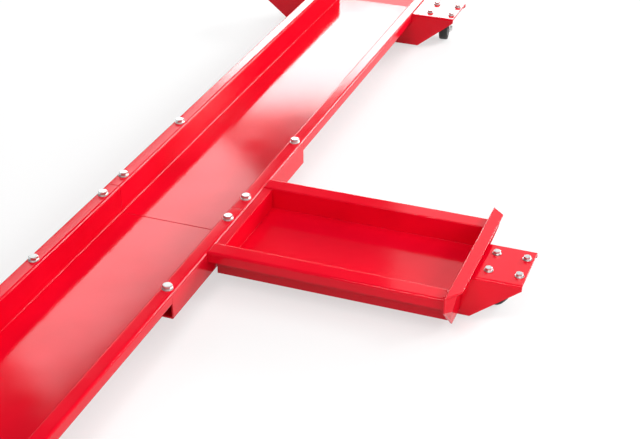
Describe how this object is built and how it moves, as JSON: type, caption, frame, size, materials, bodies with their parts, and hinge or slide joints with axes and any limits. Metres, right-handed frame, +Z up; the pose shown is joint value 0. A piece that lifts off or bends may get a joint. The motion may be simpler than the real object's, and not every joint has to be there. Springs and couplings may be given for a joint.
{
  "type": "motorcycle mover dolly",
  "caption": "Long folded steel wheel trough on low swivel castors, with a side tray for the side stand, for moving a parked motorcycle in any direction.",
  "frame": {"origin": "on the ground, under the middle of the whole dolly's bounding box", "axes": "+Y runs along the wheel trough towards the entry ramp, +Z is up, and +X points across the trough towards the side-stand tray"},
  "size_m": [0.7954, 2.223, 0.134],
  "materials": {
    "red_powder_coat": "gloss",
    "zinc_plate": "satin",
    "bearing_steel": "polished",
    "wheel_core": "matt",
    "tyre": "matt"
  },
  "bodies": {
    "frame": {"castor_balls": "bearing_steel", "castor_bolts": "zinc_plate", "castor_kingpins": "zinc_plate", "castor_nuts": "zinc_plate", "castor_washers": "zinc_plate", "entry_ramp": "red_powder_coat", "front_cross_channel": "red_powder_coat", "front_left_bracket": "red_powder_coat", "front_left_castor_plate": "zinc_plate", "front_right_bracket": "red_powder_coat", "front_right_castor_plate": "zinc_plate", "front_stop": "red_powder_coat", "front_trough": "red_powder_coat", "left_splice_rail": "red_powder_coat", "rear_cross_channel": "red_powder_coat", "rear_left_bracket": "red_powder_coat", "rear_left_castor_plate": "zinc_plate", "rear_right_bracket": "red_powder_coat", "rear_right_castor_plate": "zinc_plate", "rear_trough": "red_powder_coat", "right_splice_rail": "red_powder_coat", "splice_bolts": "zinc_plate", "splice_nuts": "zinc_plate", "splice_washers": "zinc_plate", "stand_tray": "red_powder_coat", "tray_arm": "red_powder_coat", "tray_base_channel": "red_powder_coat", "tray_bracket": "red_powder_coat", "tray_castor_plate": "zinc_plate", "tray_end_cap": "red_powder_coat"},
    "tray_swivel": {"tray_fork": "zinc_plate", "tray_axle": "zinc_plate", "tray_axle_sleeve": "zinc_plate"},
    "tray_roller": {"tray_wheel": "wheel_core", "tray_tyre": "tyre"},
    "front_left_swivel": {"front_left_fork": "zinc_plate", "front_left_axle": "zinc_plate", "front_left_axle_sleeve": "zinc_plate"},
    "front_left_roller": {"front_left_wheel": "wheel_core", "front_left_tyre": "tyre"},
    "front_right_swivel": {"front_right_fork": "zinc_plate", "front_right_axle": "zinc_plate", "front_right_axle_sleeve": "zinc_plate"},
    "front_right_roller": {"front_right_wheel": "wheel_core", "front_right_tyre": "tyre"},
    "rear_left_swivel": {"rear_left_fork": "zinc_plate", "rear_left_axle": "zinc_plate", "rear_left_axle_sleeve": "zinc_plate"},
    "rear_left_roller": {"rear_left_wheel": "wheel_core", "rear_left_tyre": "tyre"},
    "rear_right_swivel": {"rear_right_fork": "zinc_plate", "rear_right_axle": "zinc_plate", "rear_right_axle_sleeve": "zinc_plate"},
    "rear_right_roller": {"rear_right_wheel": "wheel_core", "rear_right_tyre": "tyre"}
  },
  "joints": [
    {"name": "tray_castor_swivel", "type": "hinge", "parent": "frame", "child": "tray_swivel", "pos_m": [0.36455, -0.072, 0.06], "axis": [0, 0, 1], "continuous": true},
    {"name": "tray_wheel_spin", "type": "hinge", "parent": "tray_swivel", "child": "tray_roller", "pos_m": [0.34576, -0.06516, 0.025], "axis": [-0.342, -0.9397, 0], "continuous": true},
    {"name": "front_left_castor_swivel", "type": "hinge", "parent": "frame", "child": "front_left_swivel", "pos_m": [-0.36455, -0.9985, 0.06], "axis": [0, 0, 1], "continuous": true},
    {"name": "front_left_wheel_spin", "type": "hinge", "parent": "front_left_swivel", "child": "front_left_roller", "pos_m": [-0.36664, -0.97861, 0.025], "axis": [-0.9945, -0.1045, 0], "continuous": true},
    {"name": "front_right_castor_swivel", "type": "hinge", "parent": "frame", "child": "front_right_swivel", "pos_m": [-0.00895, -0.9985, 0.06], "axis": [0, 0, 1], "continuous": true},
    {"name": "front_right_wheel_spin", "type": "hinge", "parent": "front_right_swivel", "child": "front_right_roller", "pos_m": [-0.00686, -0.97861, 0.025], "axis": [-0.9945, 0.1045, 0], "continuous": true},
    {"name": "rear_left_castor_swivel", "type": "hinge", "parent": "frame", "child": "rear_left_swivel", "pos_m": [-0.36455, 0.8815, 0.06], "axis": [0, 0, 1], "continuous": true},
    {"name": "rear_left_wheel_spin", "type": "hinge", "parent": "rear_left_swivel", "child": "rear_left_roller", "pos_m": [-0.36039, 0.90106, 0.025], "axis": [-0.9781, 0.2079, 0], "continuous": true},
    {"name": "rear_right_castor_swivel", "type": "hinge", "parent": "frame", "child": "rear_right_swivel", "pos_m": [-0.00895, 0.8815, 0.06], "axis": [0, 0, 1], "continuous": true},
    {"name": "rear_right_wheel_spin", "type": "hinge", "parent": "rear_right_swivel", "child": "rear_right_roller", "pos_m": [-0.01208, 0.90125, 0.025], "axis": [-0.9877, -0.1564, 0], "continuous": true}
  ]
}
